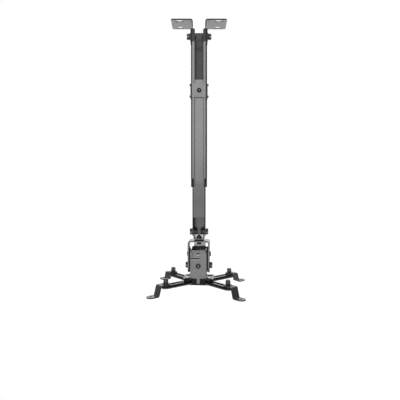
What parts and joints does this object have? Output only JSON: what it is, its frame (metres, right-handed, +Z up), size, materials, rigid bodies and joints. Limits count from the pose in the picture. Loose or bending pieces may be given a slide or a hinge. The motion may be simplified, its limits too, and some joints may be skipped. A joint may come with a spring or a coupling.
{
  "type": "projector ceiling mount",
  "caption": "Telescoping ceiling mount for a projector: slotted channel and sliding tube hung from slotted brackets, with a tilting, swivelling head and swinging clamp arms.",
  "frame": {"origin": "on the ceiling plane, midway between the two brackets", "axes": "+Z up towards the ceiling, X across the brackets, the channel's slot faces -Y"},
  "size_m": [0.1868, 0.1666, 0.502],
  "materials": {
    "mast_paint": "satin grey powder coat on folded steel",
    "head_paint": "satin grey powder coat on folded steel",
    "arm_paint": "satin dark grey powder coat on pressed steel",
    "dark_steel": "blackened steel fasteners",
    "black_plastic": "matte moulded plastic",
    "friction_plastic": "matte turned plastic"
  },
  "bodies": {
    "ceiling": {"ceiling_bracket_left": "mast_paint", "ceiling_bracket_right": "mast_paint", "ceiling_pivot_bolts": "dark_steel", "ceiling_pivot_washers": "dark_steel", "ceiling_pivot_nuts": "dark_steel"},
    "mast": {"outer_channel": "mast_paint", "top_sleeve": "black_plastic", "bottom_guide": "black_plastic"},
    "slider": {"inner_tube": "mast_paint", "tube_glide": "black_plastic", "lock_collar": "mast_paint", "collar_screws": "dark_steel", "lock_screw": "dark_steel", "lock_washer": "dark_steel", "lock_nut": "dark_steel", "yoke_bolts": "dark_steel", "yoke_washers": "dark_steel", "yoke_nuts": "dark_steel"},
    "tilt_yoke": {"yoke": "mast_paint", "swivel_bolt": "dark_steel", "swivel_nut": "dark_steel", "swivel_washer": "friction_plastic"},
    "turntable": {"u_bracket": "head_paint"},
    "head": {"head_box": "head_paint", "latch_plate": "head_paint", "latch_screw": "dark_steel", "latch_washer": "dark_steel", "latch_nut": "dark_steel", "tilt_pins": "dark_steel", "tilt_spacers": "friction_plastic", "tilt_bolts": "dark_steel", "tilt_washers": "dark_steel", "tilt_nuts": "dark_steel", "hub_plate": "head_paint", "hub_rivets": "dark_steel", "hub_bolts": "dark_steel", "hub_nuts": "dark_steel", "arm_spacers": "dark_steel"},
    "arm_front_left": {"arm_front_left": "arm_paint"},
    "clamp_front_left": {"clamp_bolt_front_left": "dark_steel", "clamp_washer_front_left": "dark_steel", "clamp_knob_front_left": "dark_steel"},
    "foot_front_left": {"foot_front_left": "arm_paint"},
    "arm_front_right": {"arm_front_right": "arm_paint"},
    "clamp_front_right": {"clamp_bolt_front_right": "dark_steel", "clamp_washer_front_right": "dark_steel", "clamp_knob_front_right": "dark_steel"},
    "foot_front_right": {"foot_front_right": "arm_paint"},
    "arm_rear_left": {"arm_rear_left": "arm_paint"},
    "clamp_rear_left": {"clamp_bolt_rear_left": "dark_steel", "clamp_washer_rear_left": "dark_steel", "clamp_knob_rear_left": "dark_steel"},
    "foot_rear_left": {"foot_rear_left": "arm_paint"},
    "arm_rear_right": {"arm_rear_right": "arm_paint"},
    "clamp_rear_right": {"clamp_bolt_rear_right": "dark_steel", "clamp_washer_rear_right": "dark_steel", "clamp_knob_rear_right": "dark_steel"},
    "foot_rear_right": {"foot_rear_right": "arm_paint"}
  },
  "joints": [
    {"name": "pole_tilt", "type": "hinge", "parent": "ceiling", "child": "mast", "pos_m": [0, 0, -0.0248], "axis": [1, 0, 0], "range_deg": [-20, 20]},
    {"name": "pole_slide", "type": "slide", "parent": "mast", "child": "slider", "axis": [0, 0, 1], "range_m": [-0.148, 0.072]},
    {"name": "yoke_tilt", "type": "hinge", "parent": "slider", "child": "tilt_yoke", "pos_m": [0, 0, -0.393], "axis": [1, 0, 0], "range_deg": [-25, 25]},
    {"name": "head_swivel", "type": "hinge", "parent": "tilt_yoke", "child": "turntable", "pos_m": [0, 0, -0.40905], "axis": [0, 0, 1], "continuous": true},
    {"name": "head_tilt", "type": "hinge", "parent": "turntable", "child": "head", "pos_m": [0, 0, -0.43525], "axis": [0.9962, -0.0872, 0], "range_deg": [-15, 15]},
    {"name": "arm_swing_front_left", "type": "hinge", "parent": "head", "child": "arm_front_left", "pos_m": [-0.02156, -0.01116, -0.4841], "axis": [0, 0, 1], "range_deg": [-15, 15]},
    {"name": "clamp_slide_front_left", "type": "slide", "parent": "arm_front_left", "child": "clamp_front_left", "axis": [-0.7859, -0.6184, 0], "range_m": [-0.005, 0]},
    {"name": "foot_turn_front_left", "type": "hinge", "parent": "clamp_front_left", "child": "foot_front_left", "pos_m": [-0.06006, -0.04147, -0.48205], "axis": [0, 0, 1], "range_deg": [-60, 60]},
    {"name": "arm_swing_front_right", "type": "hinge", "parent": "head", "child": "arm_front_right", "pos_m": [0.01929, -0.01474, -0.4841], "axis": [0, 0, 1], "range_deg": [-15, 15]},
    {"name": "clamp_slide_front_right", "type": "slide", "parent": "arm_front_right", "child": "clamp_front_right", "axis": [0.6665, -0.7455, 0], "range_m": [-0.005, 0]},
    {"name": "foot_turn_front_right", "type": "hinge", "parent": "clamp_front_right", "child": "foot_front_right", "pos_m": [0.05195, -0.05127, -0.48205], "axis": [0, 0, 1], "range_deg": [-60, 60]},
    {"name": "arm_swing_rear_left", "type": "hinge", "parent": "head", "child": "arm_rear_left", "pos_m": [-0.01929, 0.01474, -0.4841], "axis": [0, 0, 1], "range_deg": [-15, 15]},
    {"name": "clamp_slide_rear_left", "type": "slide", "parent": "arm_rear_left", "child": "clamp_rear_left", "axis": [-0.6665, 0.7455, 0], "range_m": [-0.005, 0]},
    {"name": "foot_turn_rear_left", "type": "hinge", "parent": "clamp_rear_left", "child": "foot_rear_left", "pos_m": [-0.05195, 0.05127, -0.48205], "axis": [0, 0, 1], "range_deg": [-60, 60]},
    {"name": "arm_swing_rear_right", "type": "hinge", "parent": "head", "child": "arm_rear_right", "pos_m": [0.02156, 0.01116, -0.4841], "axis": [0, 0, 1], "range_deg": [-15, 15]},
    {"name": "clamp_slide_rear_right", "type": "slide", "parent": "arm_rear_right", "child": "clamp_rear_right", "axis": [0.7859, 0.6184, 0], "range_m": [-0.005, 0]},
    {"name": "foot_turn_rear_right", "type": "hinge", "parent": "clamp_rear_right", "child": "foot_rear_right", "pos_m": [0.06006, 0.04147, -0.48205], "axis": [0, 0, 1], "range_deg": [-60, 60]}
  ]
}
